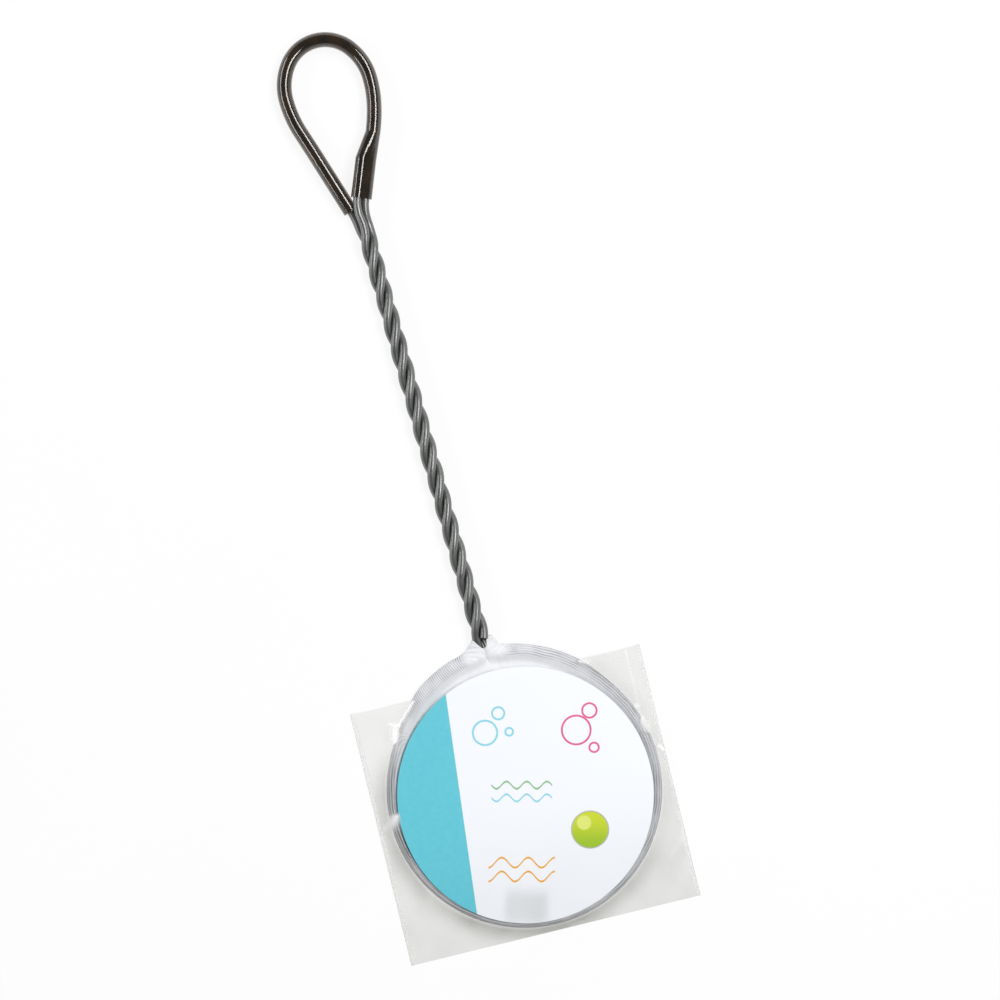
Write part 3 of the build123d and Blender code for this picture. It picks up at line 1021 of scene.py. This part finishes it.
@dataclass
class FilmPouch:
    """Pouch of clear film with its card: open towards the handle, welded at both sides, folded below."""

    film: ClearFilm = ClearFilm()
    card: PrintedCard = PrintedCard()
    turn: float = math.radians(-2.1)
    left: float = -55.1
    right: float = 53.1
    fold: float = -52.6
    mouth: float = 41.25
    hem_radius: float = 50.05
    top: float = 5.44
    brow: float = 4.75
    foot: float = 0.13
    thickness: float = 0.06
    columns: int = 230
    lines: int = 195

    # Creases over the pouch: ends X, Y, X, Y, half width, rise and whiteness, the whiteness being a painted highlight
    creases: tuple[tuple[float, ...], ...] = (
        (-31.0, 41.4, -38.6, 33.8, 0.5, -0.15, 1.0),
        (-42.2, 34.8, -38.0, 33.4, 0.8, 0.1, 1.0),
        (-39.8, 34.2, -41.5, 28.0, 1.3, 0.1, 1.0),
        (30.2, 41.0, 34.2, 39.6, 0.9, -0.2, 0.55),
        (46.4, 21.0, 47.0, 19.4, 0.6, -0.1, 0.6),
        (47.6, 15.6, 48.7, 10.2, 1.4, -0.05, 0.5),
        (51.0, 4.5, 53.0, 1.6, 0.8, 0.15, 1.0),
        (-46.8, 2.0, -53.0, -2.4, 2.1, 0.05, 0.75),
        (-38.0, -36.0, -53.5, -50.5, 1.8, 0.1, 0.0),
        (-46.0, -30.0, -54.6, -44.0, 1.8, 0.1, 0.0),
        (-28.0, -44.0, -46.0, -51.4, 1.8, 0.1, 0.0),
        (37.0, -36.0, 51.6, -50.6, 1.8, 0.1, 0.0),
        (45.0, -28.0, 52.8, -38.0, 1.8, 0.1, 0.0),
        (27.0, -44.5, 44.0, -51.4, 1.8, 0.1, 0.0),
    )

    def turned(self, x: Array, y: Array, z: Array) -> Array:
        """Points of the pouch turned as it sits on the hoop."""
        c, s = math.cos(self.turn), math.sin(self.turn)
        return np.stack([c * x - s * y, s * x + c * y, z], axis=-1)

    def plan(self) -> tuple[Array, Array]:
        """Grid over the pouch's outline, its mouth a little wavy.

        Returns:
            X and Y, shaped (lines, columns).
        """
        x = np.linspace(self.left, self.right, self.columns)[None, :]
        share = np.linspace(0.0, 1.0, self.lines)[:, None]
        mouth = self.mouth + 0.25 * np.sin(0.21 * x + 0.6) * np.sin(0.07 * x)
        y = self.fold + share * (mouth - self.fold)
        return np.broadcast_to(x, y.shape), y

    def crease_field(self, x: Array, y: Array) -> tuple[Array, Array]:
        """Rise and whiteness of the creases, the whiteness a painted highlight: a bell over the distance from the line
        of each, thin at its ends.

        Args:
            x: X over the pouch.
            y: Y over the pouch.

        Returns:
            Rise in millimetres and whiteness from 0 to 1, a painted highlight.
        """
        c = np.array(self.creases)[:, :, None, None]
        dx, dy = c[:, 2] - c[:, 0], c[:, 3] - c[:, 1]
        t = np.clip(((x - c[:, 0]) * dx + (y - c[:, 1]) * dy) / (dx**2 + dy**2), 0.0, 1.0)
        far = np.hypot(x - c[:, 0] - t * dx, y - c[:, 1] - t * dy)
        bell = np.exp(-((far / (c[:, 4] * (0.35 + 1.3 * np.sqrt(t * (1 - t))))) ** 2))
        white = np.where(c[:, 6] > 0.9, np.clip(1.8 * bell**1.5, 0.0, 1.0), bell) * c[:, 6]
        return (bell * c[:, 5]).sum(0), white.max(0)

    def haze_and_fold_shade(self, y: Array) -> Array:
        """Haze of the film round the hoop, with painted shade that grows from the mouth down to the fold."""
        return 0.082 + 0.11 * ease(-y, -20.0, 48.0)

    def weld(self, x: Array) -> Array:
        """Share of weld in the film: a band along each side, wider on the left."""
        return np.maximum(ease(self.left + 1.5 - x, -0.2, 0.2), ease(x - self.right + 1.0, -0.2, 0.2))

    def edge(self, x: Array, y: Array) -> Array:
        """Distance to the nearest of the two sides and the fold."""
        return np.minimum.reduce([x - self.left, self.right - x, y - self.fold])

    def sheet(self, name: str, x: Array, y: Array, height: Array, crease_highlight: Array, haze_and_shade: Array) -> bpy.types.Object:
        """One film of the pouch.

        Args:
            name: Name of the piece.
            x: X over the pouch.
            y: Y over the pouch.
            height: Its heights.
            crease_highlight: Whiteness of its creases, a painted highlight.
            haze_and_shade: Its grey cast, with painted shade.

        Returns:
            The piece.
        """
        marks = {"crease_highlight": crease_highlight, "weld": self.weld(x), "haze_and_shade": haze_and_shade}
        piece = grid_piece(name, self.turned(x, y, height), marks=marks)
        thicken(piece, self.thickness)
        return piece

    def front(self) -> bpy.types.Object:
        """Make the front film.

        Its height is level over the card, rounds over the hem's outline and falls to the welds by the share
        of the way from the outline to the nearest edge; creases and slow rolls are added.

        Returns:
            The piece.
        """
        x, y = self.plan()
        outside = np.hypot(x, np.minimum(y, 0.0)) - self.hem_radius
        edge = self.edge(x, y)
        slope = np.logaddexp(0.0, 4.0 * (outside + 0.75)) / 4.0
        share = slope / (slope + np.maximum(edge, 0.0) + 1e-6)
        crown = self.top - (self.top - self.brow) * ease(outside, -3.4, 0.2)
        height = self.foot + (crown - self.foot) * (1.0 - share) ** 1.45
        # The creases' whiteness is a painted highlight; their rise is real.
        rise, white = self.crease_field(x, y)
        room = ease(height, 0.3, 1.6) + 0.25
        roll = 0.05 * np.sin(0.17 * x + 0.9 * np.sin(0.1 * y)) + 0.04 * np.sin(0.23 * y - 0.1 * x + 1.0)
        corner = ease(outside, 1.0, 8.0)
        pucker = 0.10 * np.sin(0.8 * x - 0.7 * y + np.sin(0.3 * y)) * corner * ease(edge, 0.8, 4.0)
        height = np.maximum(height + rise * room + np.abs(roll) + pucker, self.foot)
        weld = self.weld(x)
        # Painted shadow of the hoop on the film: a band just outside the hem, below it, beside it on the left and
        # beyond it on the right, weaker over the welds, with a faint darkening up on the right.
        ring = np.hypot(x, y) - self.hem_radius
        below = ease(-y, 18.0, 44.0) * np.interp(x, [-20.0, 0.0, 14.0, 26.0], [0.65, 0.95, 0.67, 0.4])
        beside = 0.52 * ease(-x, 36.0, 48.0) * ease(-y, -30.0, -8.0)
        beyond = 0.15 * ease(x, 25.0, 42.0) * ease(y, -40.0, -20.0)
        slack = np.exp(-((ring / 4.5) ** 2)) * np.maximum.reduce([below, beside, beyond]) * (1.0 - 0.8 * weld)
        slack = slack + 0.03 * ease(x, 10.0, 40.0) * ease(y, 0.0, 20.0)
        # Painted shade inside the hoop: a dim patch over the card's lower middle; the tint there also darkens slightly
        # towards the bottom.
        right = PICTURE_RIGHT.x * x + PICTURE_RIGHT.y * y - 2.3
        up = PICTURE_UP.x * x + PICTURE_UP.y * y + 42.0
        painted_shade_patch = 0.17 * ease(7.8 - np.abs(right), -2.0, 2.5) * ease(6.0 - np.abs(up), -3.0, 4.0)
        inside = ease(-ring, 0.0, 2.0) * (painted_shade_patch + 0.06 * ease(-y, 0.0, 48.0))
        haze_and_shade = np.clip(ease(ring, -1.5, 1.0) * (self.haze_and_fold_shade(y) * (1.0 - 0.35 * weld) + slack) + inside, 0.0, 1.0)
        return self.sheet("pouch_front_film", x, y, height, white, haze_and_shade)

    def back(self) -> bpy.types.Object:
        """Make the back film: flat on the table, with low rolls under the net.

        Returns:
            The piece.
        """
        x, y = self.plan()
        edge = self.edge(x, y)
        roll = 0.5 + 0.5 * np.sin(0.15 * x + 0.5 * np.sin(0.12 * y)) * np.sin(0.11 * y - 0.06 * x)
        height = 0.035 + 0.12 * roll * ease(edge, 0.5, 8.0)
        # The back film's tint is its grey cast with painted shade growing towards the fold.
        return self.sheet("pouch_back_film", x, y, height, np.zeros_like(x), self.haze_and_fold_shade(y))

    def dress(self, front: bpy.types.Object, back: bpy.types.Object) -> None:
        """Dress the two films and the card."""
        material = self.film.material()
        settle(front, material, Body.POUCH, "film", "pouch_front")
        settle(back, material, Body.POUCH, "film", "pouch_back")
        dress_node("display_card", self.card.material())


@dataclass
class Studio:
    """Pale floor, soft light and the camera over the net."""

    lens: float = 100.0
    sensor: float = 36.0
    world_level: float = 0.31
    zenith: float = 0.1
    right_power: float = 7.2
    left_power: float = 3.2
    floor_white: float = 0.88
    floor_reach: float = 3000.0

    def camera(self) -> None:
        """Set the camera straight over the picture's middle."""
        data = bpy.data.cameras.new("camera")
        data.lens, data.sensor_width = self.lens, self.sensor
        camera = bpy.data.objects.new("camera", data)
        bpy.context.scene.collection.objects.link(camera)
        away = PICTURE_WIDTH * self.lens / self.sensor
        camera.location = PICTURE_CENTRE + Vector((0.0, 0.0, away))
        camera.rotation_euler = (0.0, 0.0, -math.atan2(PICTURE_UP.x, PICTURE_UP.y))
        bpy.context.scene.camera = camera

    def strip(self, name: str, across: float, ahead: float, up: float, size: tuple[float, float], power: float) -> None:
        """Hang a strip of light that looks at the net, long up the picture.

        Args:
            name: Name of the light.
            across: Its place to the picture's right, in metres.
            ahead: Its place up the picture.
            up: Its height, in metres.
            size: Its width and length.
            power: Its power in watts.
        """
        data = bpy.data.lights.new(name, "AREA")
        data.shape = "RECTANGLE"
        data.size, data.size_y = size
        data.energy = power
        lamp = bpy.data.objects.new(name, data)
        bpy.context.scene.collection.objects.link(lamp)
        away = PICTURE_RIGHT * across + Vector((0.0, 0.0, up))
        lamp.location = PICTURE_CENTRE + PICTURE_UP * ahead + away
        back = away.normalized()
        axes = Matrix((PICTURE_UP.cross(back), PICTURE_UP, back))
        lamp.rotation_mode = "QUATERNION"
        lamp.rotation_quaternion = axes.transposed().to_quaternion()
        lamp.visible_camera = False

    def world(self) -> None:
        """Light all round at a plain level; to the eye it is white, and dark only straight overhead."""
        world = bpy.data.worlds.new("studio")
        bpy.context.scene.world = world
        world.use_nodes = True
        g = Graph(world.node_tree)
        overhead = g.dot(g.add("TexCoord").outputs["Generated"], (0.0, 0.0, 1.0))
        shown = g.span(overhead, 0.08, 0.6, 1.0, self.zenith)
        more = g.math("SUBTRACT", shown, self.world_level)
        strength = g.math("MULTIPLY_ADD", self.seen(g), more, self.world_level)
        sky = g.add("Background", {"Color": (1.0, 1.0, 1.0, 1.0), "Strength": strength})
        g.add("OutputWorld", {"Surface": sky.outputs[0]})

    def seen(self, g: Graph) -> Socket:
        """1 for what the eye meets, straight, mirrored or through glass.

        Args:
            g: Graph to work in.

        Returns:
            The share.
        """
        path = g.add("LightPath")
        mirrored = g.math("MAXIMUM", path.outputs["Is Glossy Ray"], path.outputs["Is Transmission Ray"])
        return g.math("MAXIMUM", path.outputs["Is Camera Ray"], mirrored)

    def floor(self) -> None:
        """Lay a wide pale floor that shows the net's soft shadow on white."""
        corner = np.array([-self.floor_reach, self.floor_reach])
        x, y = np.meshgrid(corner, corner)
        floor = grid_piece("floor", np.stack([x, y, np.full_like(x, -0.02)], axis=-1))
        material, g = new_graph("floor")
        paper = g.span(g.noise(g.place(), 14.0), 0.2, 0.8, 0.9, 0.93)
        matt = g.add("BsdfDiffuse", {"Color": g.add("CombineColor", {0: paper, 1: paper, 2: paper}).outputs[0]})
        white = g.add("Emission", {"Color": (1.0, 1.0, 1.0, 1.0), "Strength": 1.0})
        share = g.math("MULTIPLY", self.seen(g), self.floor_white)
        g.finish(g.mix(share, matt.outputs[0], white.outputs[0]))
        floor.data.materials.append(material)

    def build(self) -> None:
        """Make the studio."""
        self.camera()
        self.strip("right_strip", 0.38, 0.28, 0.80, (0.26, 0.95), self.right_power)
        self.strip("left_strip", -0.80, 0.2, 0.55, (0.22, 0.95), self.left_power)
        self.world()
        self.floor()
        scene = bpy.context.scene
        scene.view_settings.view_transform = "Standard"
        scene.cycles.transparent_max_bounces = 32
        log.info("studio: camera, two strips, world and floor")


def main() -> None:
    """Build and dress every piece in order."""
    logging.basicConfig(level=logging.INFO, format="%(name)s: %(message)s")
    Studio().build()
    WireHandle().dress()
    hem = RimHem()
    hem.dress(hem.build())
    stitches = StitchRow()
    stitches.dress(stitches.build())
    bag = FoldedBag()
    bag.dress(bag.build())
    pouch = FilmPouch()
    pouch.dress(pouch.front(), pouch.back())


if __name__ == "__main__":
    main()
